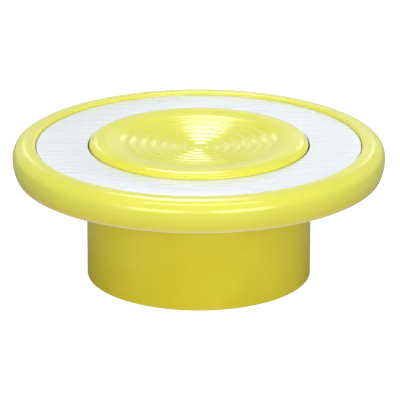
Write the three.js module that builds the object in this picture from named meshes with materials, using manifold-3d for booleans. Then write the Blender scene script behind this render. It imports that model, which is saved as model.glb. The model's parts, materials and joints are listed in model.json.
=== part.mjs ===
// Pedestrian push button: a lit, dished cap that travels in a round bezel with a metal inlay ring.
// The bezel's neck carries the plunger guide, the lamp board and a microswitch, and a screwed-on
// barrel with a rear cover encloses them. Millimetres, +Z out of the button's face, origin at the
// centre of the barrel's rear edge.
import * as THREE from "three";
import { mergeVertices } from "three/addons/utils/BufferGeometryUtils.js";
import Module from "manifold-3d";

const wasm = await Module();
wasm.setup();

// ---------------------------------------------------------------- driving dimensions

const CAP_DIAMETER = 50.9; // the two-inch pressing face
const FLANGE_DIAMETER = 86.5;
const BARREL_DIAMETER = 52.2;
const TRAVEL = 2.5; // of the cap, from rest to its stop
const GAP = 0.3; // between pieces that meet

// heights above the barrel's rear edge
const FLANGE_UNDERSIDE = 24.5;
const FLANGE_EQUATOR = 28.3; // where the flange is widest
const FLANGE_CREST = 32.0;
const RING_TOP = 31.35;
const CAP_EDGE = 31.2;
const CAP_CREST = 32.7;
const DISH_RIM = 32.1;
const DISH_CENTRE = 30.6;

// radii
const FLANGE_RADIUS = FLANGE_DIAMETER / 2;
const FLANGE_FOOT_RADIUS = 42.3; // the flange's sharp lower edge
const FLANGE_CREST_RADIUS = 38.75;
const RING_RADIUS = 37.7;
const CAP_RADIUS = CAP_DIAMETER / 2;
const CAP_CREST_RADIUS = 22.0;
const DISH_EYE = 1.46; // the level disc in the middle of the dish
const DISH_STEPS = 7;
const DISH_STEP_PITCH = 2.44;
const DISH_STEP_HEIGHT = 0.22;
const DISH_RISER = 0.4; // width of each step's outward-facing riser
const DISH_RADIUS = DISH_EYE + DISH_STEPS * DISH_STEP_PITCH;
const BARREL_RADIUS = BARREL_DIAMETER / 2;
const BARREL_BORE = 24.4;
const NECK_RADIUS = BARREL_BORE - GAP; // the bezel's neck fills the barrel
const NECK_BORE = 22.5;
const NECK_FOOT_BORE = 21.4; // below the ledge

// bezel interior
const RING_SEAT = 30.0;
const RING_WALL = 37.85; // inner wall of the flange's raised rim
const CAP_POCKET_RADIUS = CAP_RADIUS + GAP;
const SHELF = 26.4; // floor of the cap's pocket
const LEDGE_TOP = 16.7; // the carrier plate rests here
const LEDGE_BOTTOM = 12.8;
const LEDGE_BORE = 16.2;
const NECK_BOTTOM = 8.5;

// cap
const SKIRT_OUTER = NECK_BORE - GAP;
const SKIRT_INNER = 20.6;
const SKIRT_BOTTOM = 23.2;
const CAP_LIP = 29.9; // underside of the cap's overhanging lip
const CAP_WALL = 1.9;

// plunger train
const PLUNGER_RADIUS = 3.5;
const PLUNGER_TIP = 15.4;
const PLUNGER_FLANGE_BOTTOM = 25.6;
const PLUNGER_FLANGE_TOP = 27.1;
const PLUNGER_FLANGE_RADIUS = 12.0;
const PLUNGER_SCREW_CIRCLE = 9.5;
const BUSH_RADIUS = 5.0;
const BUSH_BOTTOM = 17.0;
const BUSH_TOP = 22.0;
const BUSH_COLLAR_TOP = 19.3;
const SPRING_RADIUS = 6.3; // of the wire's centre line
const SPRING_WIRE = 0.7; // diameter
const SPRING_TURNS = 4;

// carrier plate and lamp board
const PLATE_BOTTOM = LEDGE_TOP + GAP;
const PLATE_TOP = 18.5;
const PLATE_RADIUS = NECK_BORE - GAP;
const CARRIER_SCREW_CIRCLE = 19.3;
const BOARD_BOTTOM = 20.0;
const BOARD_TOP = 21.0;
const BOARD_INNER = 8.5;
const BOARD_OUTER = 16.8;
const BOARD_SCREW_CIRCLE = 11.0;
const LAMP_COUNT = 4;
const LAMP_CIRCLE = 14.5;
const WIRE_PASS = [-12.4, -4.0]; // hole through the plate for the lamp leads
const WIRE_PASS_RADIUS = 2.6;

// microswitch: its case lies along X beside the plunger's axis
const CASE_LOW_X = -1.8;
const CASE_HIGH_X = 11.0;
const CASE_HALF_Y = 2.9;
const CASE_BOTTOM = 6.6;
const CASE_TOP = 11.7;
const SWITCH_BASE_BOTTOM = 5.2;
const LEVER_PIVOT = [10.0, 12.6]; // X and Z of the lever's pin
const LEVER_ANGLE = TRAVEL / LEVER_PIVOT[0]; // radians that the lever stands up at rest
const LEVER_LENGTH = 11.5;
const SWITCH_BUTTON_X = 7.0;
const SWITCH_BUTTON_TOP = 12.6;
const SWITCH_HOLES_X = [1.35, 7.85];
const SWITCH_HOLE_Z = 7.9;
const SWITCH_TERMINALS_X = [0, 4.6, 9.2];
const SWITCH_TERMINAL_BOTTOM = 2.9;
const BRACKET_NEAR_Y = -3.2; // the bracket's face beside the case
const BRACKET_THICKNESS = 1.0;
const BRACKET_FOOT_Y = -10.8;
const BRACKET_SCREWS_Y = [-5.7, -9.1];
const BRACKET_X = 8.7;

// rear: cover, seal, cable entry and terminal block
const COVER_BOTTOM = 0.6;
const COVER_TOP = 2.4;
const LEDGE_SEAT = 3.9; // underside of the barrel's inner ledge
const REAR_LEDGE_TOP = 5.4;
const REAR_LEDGE_BORE = 21.6;
const CASE_SCREW_CIRCLE = 18.5;
const CABLE_ENTRY = [-10.5, 5.0];
const CABLE_ENTRY_RADIUS = 3.4; // clear hole through the grommet
const BLOCK_LOW_Y = -14.5;
const BLOCK_HIGH_Y = -8.5;
const BLOCK_HALF_X = 8.0;
const BLOCK_TOP = 9.5;
const POLES_X = [-6, -2, 2, 6];
const POLE_ENTRY_Z = 5.0;
const LEAD_RADIUS = 0.5;

// panel interface under the flange
const INSERT_CIRCLE = 33.0;
const INSERT_RADIUS = 2.8;
const INSERT_BORE = 1.65; // tapped M4
const INSERT_TOP = 28.6;
const GASKET_INNER = 36.1;
const GASKET_OUTER = 40.1;

// angles in degrees of the two sets of three that share the inside
const FACING_SET = [90, 210, 330];
const OTHER_SET = [30, 150, 270];

const FINE = 32; // facets of the outer shells
const PLAIN = 24; // facets of the inner rings
const SMALL = 8; // facets of fasteners

// ---------------------------------------------------------------- materials

const finish = (color, roughness, metalness = 0) =>
  new THREE.MeshStandardMaterial({ color, roughness, metalness });

const LEMON = finish("#e2e35c", 0.28);
const LEMON_BARREL = finish("#cdbf45", 0.25);
const BRUSHED_RING = finish("#e4eaee", 0.35, 0.9);
const ADHESIVE = finish("#d9dde0", 0.7);
const BRASS = finish("#c9a24b", 0.35, 1);
const BLACK_RUBBER = finish("#1c1c1d", 0.8);
const OPAL = finish("#f1f2ee", 0.5);
const ACETAL = finish("#ecebe4", 0.45);
const STEEL = finish("#c3c6c9", 0.3, 1);
const SPRING_STEEL = finish("#9fa4a8", 0.3, 1);
const BRONZE = finish("#b08a4e", 0.4, 1);
const GREY_PLASTIC = finish("#55595c", 0.55);
const BOARD_GREEN = finish("#1f6b3d", 0.45);
const LAMP_LENS = finish("#fff6c9", 0.2);
const BLACK_PLASTIC = finish("#1d1e20", 0.45);
const RED_PLASTIC = finish("#b3261e", 0.4);
const BLOCK_GREEN = finish("#2f8f5b", 0.5);
const RED_WIRE = finish("#a9261c", 0.5);
const BLACK_WIRE = finish("#18191b", 0.5);

// ---------------------------------------------------------------- geometry helpers

// A solid of revolution about Z from [radius, height] points, listed anticlockwise.
function turned(points, segments = PLAIN) {
  const profile = points.map(([radius, height]) => new THREE.Vector2(radius, height));
  return new THREE.LatheGeometry(profile, segments).rotateX(Math.PI / 2);
}

// A turned ring: its profile closes on itself.
const ring = (points, segments = PLAIN) => turned([...points, points[0]], segments);

// A plain flat ring between two radii and two heights.
const flatRing = (inner, outer, bottom, top, segments = PLAIN) =>
  ring([[inner, bottom], [outer, bottom], [outer, top], [inner, top]], segments);

// An upright cylinder between two heights.
const post = (radius, bottom, top, segments = SMALL) =>
  turned([[0, bottom], [radius, bottom], [radius, top], [0, top]], segments);

// A box given by its lowest and highest corners.
const block = (low, high) =>
  new THREE.BoxGeometry(...high.map((value, axis) => value - low[axis])).translate(
    ...high.map((value, axis) => (value + low[axis]) / 2),
  );

// Points of a superellipse quarter from [x0, y1] round to [x1, y0], ends included.
function roundedShoulder([x0, y1], [x1, y0], exponent, steps) {
  const points = [];
  for (let i = 0; i <= steps; i++) {
    const angle = (i / steps) * (Math.PI / 2);
    const across = Math.sin(angle) ** (2 / exponent);
    const up = Math.cos(angle) ** (2 / exponent);
    points.push([x0 + (x1 - x0) * across, y0 + (y1 - y0) * up]);
  }
  return points;
}

// The point at a radius and an angle in degrees.
function polar(radius, degrees) {
  const angle = THREE.MathUtils.degToRad(degrees);
  return [radius * Math.cos(angle), radius * Math.sin(angle)];
}

// A geometry's closed surface as a manifold-3d solid.
function solid(geometry) {
  const bare = geometry.clone();
  bare.deleteAttribute("normal");
  bare.deleteAttribute("uv");
  const merged = mergeVertices(bare);
  return new wasm.Manifold(
    new wasm.Mesh({
      numProp: 3,
      vertProperties: merged.attributes.position.array,
      triVerts: new Uint32Array(merged.index.array),
    }),
  );
}

// A manifold-3d solid as a three.js geometry.
function geometryOf(shape) {
  const { vertProperties, triVerts } = shape.getMesh();
  const geometry = new THREE.BufferGeometry();
  geometry.setAttribute("position", new THREE.BufferAttribute(vertProperties, 3));
  geometry.setIndex(new THREE.BufferAttribute(triVerts, 1));
  geometry.computeVertexNormals();
  return geometry;
}

// One body with others joined on and then others cut away.
function carved(body, { joined = [], cuts = [] }) {
  let shape = solid(body);
  for (const geometry of joined) shape = shape.add(solid(geometry));
  for (const geometry of cuts) shape = shape.subtract(solid(geometry));
  return geometryOf(shape);
}

// A pan-head screw with a hexagon socket: its head's seat is at 0 and its shank hangs below.
function panScrew(shankRadius, length, headRadius, headHeight) {
  const body = turned(
    [
      [0, -length],
      [shankRadius, -length],
      [shankRadius, 0],
      [headRadius, 0],
      [headRadius, headHeight * 0.6],
      [headRadius * 0.75, headHeight],
      [0, headHeight],
    ],
    SMALL,
  );
  const socket = post(headRadius * 0.45, headHeight * 0.45, headHeight + 1, 6);
  return carved(body, { cuts: [socket] });
}

// A round wire along a smooth curve through its points.
function wire(points, radius, steps, sides = 6) {
  const path = new THREE.CatmullRomCurve3(points.map((point) => new THREE.Vector3(...point)));
  const section = new THREE.Shape().setFromPoints(
    Array.from({ length: sides }, (_, i) => {
      const angle = (i / sides) * 2 * Math.PI;
      return new THREE.Vector2(radius * Math.cos(angle), radius * Math.sin(angle));
    }),
  );
  return new THREE.ExtrudeGeometry(section, { steps, bevelEnabled: false, extrudePath: path });
}

const button = new THREE.Group();

// Adds one named piece to the assembly and gives it back for placing.
function piece(name, geometry, material) {
  const mesh = new THREE.Mesh(geometry, material);
  mesh.name = name;
  button.add(mesh);
  return mesh;
}

// Adds NAME_1, NAME_2, ... from one geometry, at [x, y] points and one height.
function pieces(name, geometry, material, points, height = 0, upsideDown = false) {
  points.forEach(([x, y], i) => {
    const mesh = piece(`${name}_${i + 1}`, geometry, material);
    mesh.position.set(x, y, height);
    if (upsideDown) mesh.rotation.x = Math.PI;
  });
}

// ---------------------------------------------------------------- bezel and its ring

// The bezel's outside from the gasket groove round to the raised rim, which falls to the ring's seat.
function flangeOutline() {
  const bulge = FLANGE_RADIUS - FLANGE_FOOT_RADIUS;
  const lowerSide = [0, 0.25, 0.5, 0.75].map((t) => [
    FLANGE_FOOT_RADIUS + bulge * (1 - (1 - t) ** 2),
    FLANGE_UNDERSIDE + t * (FLANGE_EQUATOR - FLANGE_UNDERSIDE),
  ]);
  const upperSide = roundedShoulder(
    [FLANGE_CREST_RADIUS, FLANGE_CREST],
    [FLANGE_RADIUS, FLANGE_EQUATOR],
    2.75,
    6,
  ).reverse();
  const innerSide = roundedShoulder([FLANGE_CREST_RADIUS, FLANGE_CREST], [RING_WALL, RING_TOP], 2, 2);
  return [...lowerSide, ...upperSide, ...innerSide.slice(1)];
}

function buildBezel() {
  const gasketGroove = [
    [GASKET_INNER - GAP, FLANGE_UNDERSIDE],
    [GASKET_INNER - GAP, FLANGE_UNDERSIDE + 0.9],
    [GASKET_OUTER + GAP, FLANGE_UNDERSIDE + 0.9],
    [GASKET_OUTER + GAP, FLANGE_UNDERSIDE],
  ];
  const barrelSealGroove = [
    [NECK_RADIUS, 9.6],
    [NECK_RADIUS - 0.9, 9.6],
    [NECK_RADIUS - 0.9, 11.2],
    [NECK_RADIUS, 11.2],
  ];
  const barrelRecess = [
    [NECK_RADIUS, FLANGE_UNDERSIDE + GAP],
    [BARREL_RADIUS + GAP, FLANGE_UNDERSIDE + GAP],
    [BARREL_RADIUS + GAP, FLANGE_UNDERSIDE],
  ];
  const capSealGroove = [
    [NECK_BORE, 25.7],
    [NECK_BORE + 0.8, 25.7],
    [NECK_BORE + 0.8, 24.3],
    [NECK_BORE, 24.3],
  ];
  const body = ring(
    [
      [NECK_FOOT_BORE, NECK_BOTTOM],
      [NECK_RADIUS, NECK_BOTTOM],
      ...barrelSealGroove,
      ...barrelRecess,
      ...gasketGroove,
      ...flangeOutline(),
      [RING_WALL, RING_SEAT],
      [CAP_POCKET_RADIUS, RING_SEAT],
      [CAP_POCKET_RADIUS, SHELF],
      [NECK_BORE, SHELF],
      ...capSealGroove,
      [NECK_BORE, LEDGE_TOP],
      [LEDGE_BORE, LEDGE_TOP],
      [LEDGE_BORE, LEDGE_BOTTOM],
      [NECK_FOOT_BORE, LEDGE_BOTTOM],
    ],
    FINE,
  );
  const caseBosses = FACING_SET.map((angle) =>
    post(3.2, NECK_BOTTOM, LEDGE_BOTTOM + 1, 16).translate(...polar(CASE_SCREW_CIRCLE, angle), 0),
  );
  const caseScrewHoles = FACING_SET.map((angle) =>
    post(1.6, NECK_BOTTOM - 1, 14.2).translate(...polar(CASE_SCREW_CIRCLE, angle), 0),
  );
  const carrierScrewHoles = OTHER_SET.map((angle) =>
    post(1.4, 13.7, LEDGE_TOP + 1).translate(...polar(CARRIER_SCREW_CIRCLE, angle), 0),
  );
  const insertHoles = OTHER_SET.map((angle) =>
    post(INSERT_RADIUS + GAP, FLANGE_UNDERSIDE - 1, INSERT_TOP + GAP, 16).translate(
      ...polar(INSERT_CIRCLE, angle),
      0,
    ),
  );
  const bezel = carved(body, {
    joined: caseBosses,
    cuts: [...caseScrewHoles, ...carrierScrewHoles, ...insertHoles],
  });
  piece("bezel", bezel, LEMON);
}

function buildInlay() {
  piece("inlay_adhesive", flatRing(26.0, 37.5, RING_SEAT + 0.1, RING_SEAT + 0.4, PLAIN), ADHESIVE);
  const bevel = 0.12;
  const inlay = ring(
    [
      [CAP_POCKET_RADIUS, RING_SEAT + 0.5],
      [RING_RADIUS, RING_SEAT + 0.5],
      [RING_RADIUS, RING_TOP - bevel],
      [RING_RADIUS - bevel, RING_TOP],
      [CAP_POCKET_RADIUS + bevel, RING_TOP],
      [CAP_POCKET_RADIUS, RING_TOP - bevel],
    ],
    FINE,
  );
  piece("inlay_ring", inlay, BRUSHED_RING);
}

function buildPanelInterface() {
  const insert = flatRing(INSERT_BORE, INSERT_RADIUS, FLANGE_UNDERSIDE + 0.2, INSERT_TOP, 16);
  pieces("mounting_insert", insert, BRASS, OTHER_SET.map((angle) => polar(INSERT_CIRCLE, angle)));
  const gasket = flatRing(
    GASKET_INNER,
    GASKET_OUTER,
    FLANGE_UNDERSIDE - 0.5,
    FLANGE_UNDERSIDE + 0.6,
    PLAIN,
  );
  piece("panel_gasket", gasket, BLACK_RUBBER);
}

// ---------------------------------------------------------------- cap and plunger

// The dish's steps from its rim to its centre: each has a tread that leans in and a short riser.
function dishOutline() {
  const hollow = (radius) =>
    DISH_CENTRE + (DISH_RIM - DISH_CENTRE) * (radius / DISH_RADIUS) ** 2;
  const points = [];
  for (let step = DISH_STEPS; step > 0; step--) {
    const crest = DISH_EYE + step * DISH_STEP_PITCH;
    const foot = crest - DISH_STEP_PITCH + DISH_RISER;
    points.push([crest, hollow(crest) + DISH_STEP_HEIGHT / 2]);
    points.push([foot, hollow(foot) - DISH_STEP_HEIGHT / 2]);
  }
  return points;
}

function buildCap() {
  const shoulder = roundedShoulder([CAP_CREST_RADIUS, CAP_CREST], [CAP_RADIUS, CAP_EDGE], 2.5, 5);
  const innerSlope = [0.75, 0.5, 0.25].map((t) => [
    DISH_RADIUS + t * (CAP_CREST_RADIUS - DISH_RADIUS),
    DISH_RIM + (CAP_CREST - DISH_RIM) * (1 - (1 - t) ** 2),
  ]);
  const body = turned(
    [
      [0, DISH_CENTRE - CAP_WALL],
      [DISH_RADIUS, DISH_RIM - CAP_WALL],
      [SKIRT_INNER - 0.8, CAP_CREST - CAP_WALL - 0.4],
      [SKIRT_INNER, CAP_CREST - CAP_WALL - 1.0],
      [SKIRT_INNER, SKIRT_BOTTOM],
      [SKIRT_OUTER, SKIRT_BOTTOM],
      [SKIRT_OUTER, CAP_LIP],
      [CAP_RADIUS, CAP_LIP],
      ...shoulder.reverse(),
      ...innerSlope,
      ...dishOutline(),
      [0, DISH_CENTRE],
    ],
    FINE,
  );
  const screwPoints = FACING_SET.map((angle) => polar(PLUNGER_SCREW_CIRCLE, angle));
  const bosses = screwPoints.map(([x, y]) =>
    post(2.2, PLUNGER_FLANGE_TOP + GAP, DISH_RIM - CAP_WALL, 16).translate(x, y, 0),
  );
  const holes = screwPoints.map(([x, y]) => post(1.2, PLUNGER_FLANGE_TOP, 29.6).translate(x, y, 0));
  piece("button_cap", carved(body, { joined: bosses, cuts: holes }), LEMON);

  const sealLow = 24.4;
  const seal = ring([
    [NECK_BORE + 0.15, sealLow],
    [NECK_BORE + 0.65, sealLow],
    [NECK_BORE + 0.65, sealLow + 1.2],
    [NECK_BORE + 0.15, sealLow + 1.2],
    [NECK_BORE - 0.05, sealLow + 0.6],
  ]);
  piece("cap_seal", seal, BLACK_RUBBER);
  piece("stop_bumper", flatRing(NECK_BORE + 0.4, 25.4, SHELF + 0.15, SHELF + 0.8), BLACK_RUBBER);
  piece("light_diffuser", flatRing(PLUNGER_FLANGE_RADIUS + 0.5, SKIRT_INNER - 0.4, 26.3, 27.5), OPAL);
}

function buildPlunger() {
  const screwPoints = FACING_SET.map((angle) => polar(PLUNGER_SCREW_CIRCLE, angle));
  const shaft = turned(
    [
      [0, PLUNGER_TIP],
      [1.6, PLUNGER_TIP],
      [PLUNGER_RADIUS, PLUNGER_TIP + 0.6],
      [PLUNGER_RADIUS - 0.7, PLUNGER_TIP + 0.7],
      [PLUNGER_RADIUS - 0.7, PLUNGER_TIP + 1.45],
      [PLUNGER_RADIUS, PLUNGER_TIP + 1.5],
      [PLUNGER_RADIUS, PLUNGER_FLANGE_BOTTOM],
      [PLUNGER_FLANGE_RADIUS, PLUNGER_FLANGE_BOTTOM],
      [PLUNGER_FLANGE_RADIUS, PLUNGER_FLANGE_TOP],
      [0, PLUNGER_FLANGE_TOP],
    ],
    PLAIN,
  );
  const holes = screwPoints.map(([x, y]) =>
    post(1.2, PLUNGER_FLANGE_BOTTOM - 1, PLUNGER_FLANGE_TOP + 1).translate(x, y, 0),
  );
  piece("plunger", carved(shaft, { cuts: holes }), ACETAL);
  const screw = panScrew(0.9, 3.8, 1.8, 1.2);
  pieces("plunger_screw", screw, STEEL, screwPoints, PLUNGER_FLANGE_BOTTOM - 0.1, true);

  const clip = new THREE.Shape();
  clip.absarc(0, 0, 5.0, 0.7, 2 * Math.PI - 0.7, false);
  clip.absarc(0, 0, PLUNGER_RADIUS - 0.4, 2 * Math.PI - 0.7, 0.7, true);
  const clipGeometry = new THREE.ExtrudeGeometry(clip, {
    depth: 0.45,
    bevelEnabled: false,
    curveSegments: 16,
  });
  piece("retaining_clip", clipGeometry, SPRING_STEEL).position.z = PLUNGER_TIP + 0.85;
}

function buildReturnSpring() {
  const bottom = BUSH_COLLAR_TOP + GAP + SPRING_WIRE / 2;
  const top = PLUNGER_FLANGE_BOTTOM - GAP - SPRING_WIRE / 2;
  const stepsPerTurn = 12;
  const points = [];
  for (let i = 0; i <= SPRING_TURNS * stepsPerTurn; i++) {
    const turns = i / stepsPerTurn;
    const angle = turns * 2 * Math.PI;
    const height = bottom + (top - bottom) * (turns / SPRING_TURNS);
    points.push([SPRING_RADIUS * Math.cos(angle), SPRING_RADIUS * Math.sin(angle), height]);
  }
  const coil = wire(points, SPRING_WIRE / 2, SPRING_TURNS * stepsPerTurn);
  piece("return_spring", coil, SPRING_STEEL);
}

// ---------------------------------------------------------------- carrier and lamp board

function buildCarrier() {
  const at = (circle, angles) => angles.map((angle) => polar(circle, angle));
  const through = (radius, [x, y]) => post(radius, PLATE_BOTTOM - 1, BOARD_TOP + 1).translate(x, y, 0);
  const plate = flatRing(BUSH_RADIUS + GAP, PLATE_RADIUS, PLATE_BOTTOM, PLATE_TOP, PLAIN);
  const standoffs = at(BOARD_SCREW_CIRCLE, OTHER_SET).map(([x, y]) =>
    post(2.3, PLATE_BOTTOM + 0.5, BOARD_BOTTOM - 0.2, 16).translate(x, y, 0),
  );
  const cuts = [
    ...at(BOARD_SCREW_CIRCLE, OTHER_SET).map((point) => through(1.3, point)),
    ...at(CARRIER_SCREW_CIRCLE, OTHER_SET).map((point) => through(1.4, point)),
    ...BRACKET_SCREWS_Y.map((y) => through(1.2, [BRACKET_X, y])),
    through(WIRE_PASS_RADIUS, WIRE_PASS),
  ];
  piece("carrier_plate", carved(plate, { joined: standoffs, cuts }), GREY_PLASTIC);
  const carrierScrew = panScrew(1.1, 4.6, 2.1, 1.3);
  pieces("carrier_screw", carrierScrew, STEEL, at(CARRIER_SCREW_CIRCLE, OTHER_SET), PLATE_TOP + 0.2);

  const bush = ring([
    [PLUNGER_RADIUS + GAP, BUSH_BOTTOM],
    [BUSH_RADIUS, BUSH_BOTTOM],
    [BUSH_RADIUS, PLATE_TOP + GAP],
    [7.2, PLATE_TOP + GAP],
    [7.2, BUSH_COLLAR_TOP],
    [BUSH_RADIUS, BUSH_COLLAR_TOP],
    [BUSH_RADIUS, BUSH_TOP],
    [PLUNGER_RADIUS + GAP, BUSH_TOP],
  ]);
  piece("guide_bush", bush, BRONZE);

  const board = flatRing(BOARD_INNER, BOARD_OUTER, BOARD_BOTTOM, BOARD_TOP, PLAIN);
  const boardHoles = at(BOARD_SCREW_CIRCLE, OTHER_SET).map((point) => through(1.3, point));
  piece("lamp_board", carved(board, { cuts: boardHoles }), BOARD_GREEN);
  const boardScrew = panScrew(1.0, 3.8, 1.9, 1.0);
  pieces("board_screw", boardScrew, STEEL, at(BOARD_SCREW_CIRCLE, OTHER_SET), BOARD_TOP + 0.2);

  const lampFoot = BOARD_TOP + 0.2;
  const lens = turned(
    [
      [0, lampFoot],
      [1.6, lampFoot],
      [1.6, lampFoot + 0.5],
      [1.3, lampFoot + 0.9],
      [0.7, lampFoot + 1.2],
      [0, lampFoot + 1.3],
    ],
    SMALL,
  );
  const lampAngles = Array.from({ length: LAMP_COUNT }, (_, i) => 45 + (i * 360) / LAMP_COUNT);
  pieces("lamp", lens, LAMP_LENS, at(LAMP_CIRCLE, lampAngles));
}

// ---------------------------------------------------------------- microswitch

function buildSwitchBody() {
  const [pivotX, pivotZ] = LEVER_PIVOT;
  const body = block([CASE_LOW_X, -CASE_HALF_Y, CASE_BOTTOM], [CASE_HIGH_X, CASE_HALF_Y, CASE_TOP]);
  const ears = [-1, 1].map((side) =>
    block(
      [pivotX - 0.9, Math.min(side * 2.1, side * CASE_HALF_Y), CASE_TOP - 0.5],
      [pivotX + 0.9, Math.max(side * 2.1, side * CASE_HALF_Y), pivotZ + 0.8],
    ),
  );
  const across = (radius, x, z) =>
    post(radius, -5, 5).rotateX(Math.PI / 2).translate(x, 0, z);
  const cuts = [
    across(0.5, pivotX, pivotZ),
    ...SWITCH_HOLES_X.map((x) => across(1.2, x, SWITCH_HOLE_Z)),
    block([SWITCH_BUTTON_X - 1, -1.4, 9.3], [SWITCH_BUTTON_X + 1, 1.4, CASE_TOP + 1]),
  ];
  piece("switch_case", carved(body, { joined: ears, cuts }), BLACK_PLASTIC);
  piece("lever_pin", across(0.3, pivotX, pivotZ).scale(1, 0.56, 1), STEEL);

  const base = block(
    [CASE_LOW_X, -CASE_HALF_Y, SWITCH_BASE_BOTTOM],
    [CASE_HIGH_X, CASE_HALF_Y, CASE_BOTTOM - GAP],
  );
  const slots = SWITCH_TERMINALS_X.map((x) =>
    block([x - 0.9, -0.55, SWITCH_BASE_BOTTOM - 1], [x + 0.9, 0.55, CASE_BOTTOM]),
  );
  piece("switch_base", carved(base, { cuts: slots }), BLACK_PLASTIC);
  const blade = block([-0.6, -0.25, SWITCH_TERMINAL_BOTTOM], [0.6, 0.25, CASE_BOTTOM - 2 * GAP]);
  pieces("switch_terminal", blade, BRASS, SWITCH_TERMINALS_X.map((x) => [x, 0]));

  const screw = panScrew(0.9, 7.2, 1.8, 1.0);
  SWITCH_HOLES_X.forEach((x, i) => {
    const mesh = piece(`switch_screw_${i + 1}`, screw, STEEL);
    mesh.position.set(x, CASE_HALF_Y + 0.2, SWITCH_HOLE_Z);
    mesh.rotation.x = -Math.PI / 2;
  });
}

function buildSwitchMovement() {
  const [pivotX, pivotZ] = LEVER_PIVOT;
  const stem = block(
    [SWITCH_BUTTON_X - 0.7, -1.1, 10.3],
    [SWITCH_BUTTON_X + 0.7, 1.1, SWITCH_BUTTON_TOP],
  );
  piece("switch_button", stem, RED_PLASTIC);

  const eye = flatRing(0.5, 0.75, -1.7, 1.7, SMALL).rotateX(Math.PI / 2);
  const strip = block([-LEVER_LENGTH, -1.7, -0.35], [-0.55, 1.7, -0.05]);
  const lever = piece("switch_lever", carved(strip, { joined: [eye] }), SPRING_STEEL);
  lever.position.set(pivotX, 0, pivotZ);
  lever.rotation.y = LEVER_ANGLE;
}

function buildSwitchBracket() {
  const back = BRACKET_NEAR_Y - BRACKET_THICKNESS;
  const legTop = PLATE_BOTTOM - GAP;
  const narrowX = 6.4;
  const leg = block([CASE_LOW_X, back, SWITCH_BASE_BOTTOM], [CASE_HIGH_X, BRACKET_NEAR_Y, 11.4]);
  const hanger = block([narrowX, back, 11], [CASE_HIGH_X, BRACKET_NEAR_Y, legTop]);
  const foot = block(
    [narrowX, BRACKET_FOOT_Y, legTop - BRACKET_THICKNESS],
    [CASE_HIGH_X, BRACKET_NEAR_Y, legTop],
  );
  const cuts = [
    ...SWITCH_HOLES_X.map((x) =>
      post(1.2, -6, 0).rotateX(-Math.PI / 2).translate(x, 0, SWITCH_HOLE_Z),
    ),
    ...BRACKET_SCREWS_Y.map((y) => post(1.2, 14, 18).translate(BRACKET_X, y, 0)),
  ];
  piece("switch_bracket", carved(leg, { joined: [hanger, foot], cuts }), STEEL);
  const screw = panScrew(0.9, 2.6, 1.5, 1.0);
  const points = BRACKET_SCREWS_Y.map((y) => [BRACKET_X, y]);
  pieces("bracket_screw", screw, STEEL, points, legTop - BRACKET_THICKNESS - 0.2, true);
}

// ---------------------------------------------------------------- wiring

function buildTerminalBlock() {
  const body = block(
    [-BLOCK_HALF_X, BLOCK_LOW_Y, COVER_TOP + GAP],
    [BLOCK_HALF_X, BLOCK_HIGH_Y, BLOCK_TOP],
  );
  const middleY = (BLOCK_LOW_Y + BLOCK_HIGH_Y) / 2;
  const wells = POLES_X.map((x) => post(1.6, 6.3, BLOCK_TOP + 1).translate(x, middleY, 0));
  const entries = POLES_X.map((x) =>
    post(0.85, 0, 4.5).rotateX(Math.PI / 2).translate(x, BLOCK_HIGH_Y + 1, POLE_ENTRY_Z),
  );
  piece("terminal_block", carved(body, { cuts: [...wells, ...entries] }), BLOCK_GREEN);
  const screw = carved(post(1.3, 6.6, 9.0), {
    cuts: [block([-2, -0.25, 8.5], [2, 0.25, 10])],
  });
  pieces("terminal_screw", screw, BRASS, POLES_X.map((x) => [x, middleY]));
}

function buildLeads() {
  const inTheBlock = (x) => [
    [x, BLOCK_HIGH_Y + 2.2, POLE_ENTRY_Z],
    [x, BLOCK_HIGH_Y - 2.6, POLE_ENTRY_Z],
  ];
  const underTheBracket = 3.9;
  SWITCH_TERMINALS_X.slice(1).forEach((x, i) => {
    const pole = POLES_X[i + 2];
    const route = [
      [x, -0.95, underTheBracket],
      [x, -2.2, underTheBracket],
      [(x + pole) / 2, -4.2, underTheBracket + 0.1],
      ...inTheBlock(pole),
    ];
    piece(`switch_lead_${i + 1}`, wire(route, LEAD_RADIUS, 12), BLACK_WIRE);
  });
  const [passX, passY] = WIRE_PASS;
  [-1, 1].forEach((side, i) => {
    const pole = POLES_X[i];
    const x = passX + side * 0.95;
    const route = [
      [x, passY, BOARD_BOTTOM - 0.2],
      [x, passY, PLATE_BOTTOM - 1],
      [x, passY, 11],
      [(x + pole) / 2, passY - 0.4, 6.6],
      ...inTheBlock(pole),
    ];
    piece(`lamp_lead_${i + 1}`, wire(route, LEAD_RADIUS, 16), RED_WIRE);
  });
}

// ---------------------------------------------------------------- barrel and rear cover

function buildBarrel() {
  const edge = 0.2;
  const barrel = ring(
    [
      [BARREL_BORE, 0],
      [BARREL_RADIUS - edge, 0],
      [BARREL_RADIUS, edge],
      [BARREL_RADIUS, FLANGE_UNDERSIDE - edge],
      [BARREL_RADIUS - edge, FLANGE_UNDERSIDE],
      [BARREL_BORE, FLANGE_UNDERSIDE],
      [BARREL_BORE, REAR_LEDGE_TOP],
      [REAR_LEDGE_BORE, REAR_LEDGE_TOP],
      [REAR_LEDGE_BORE, LEDGE_SEAT],
      [BARREL_BORE, LEDGE_SEAT],
    ],
    FINE,
  );
  piece("barrel", barrel, LEMON_BARREL);

  const seal = ring([
    [NECK_RADIUS - 0.65, 9.75],
    [NECK_RADIUS - 0.05, 9.75],
    [NECK_RADIUS + 0.15, 10.4],
    [NECK_RADIUS - 0.05, 11.05],
    [NECK_RADIUS - 0.65, 11.05],
  ]);
  piece("barrel_seal", seal, BLACK_RUBBER);
}

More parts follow.
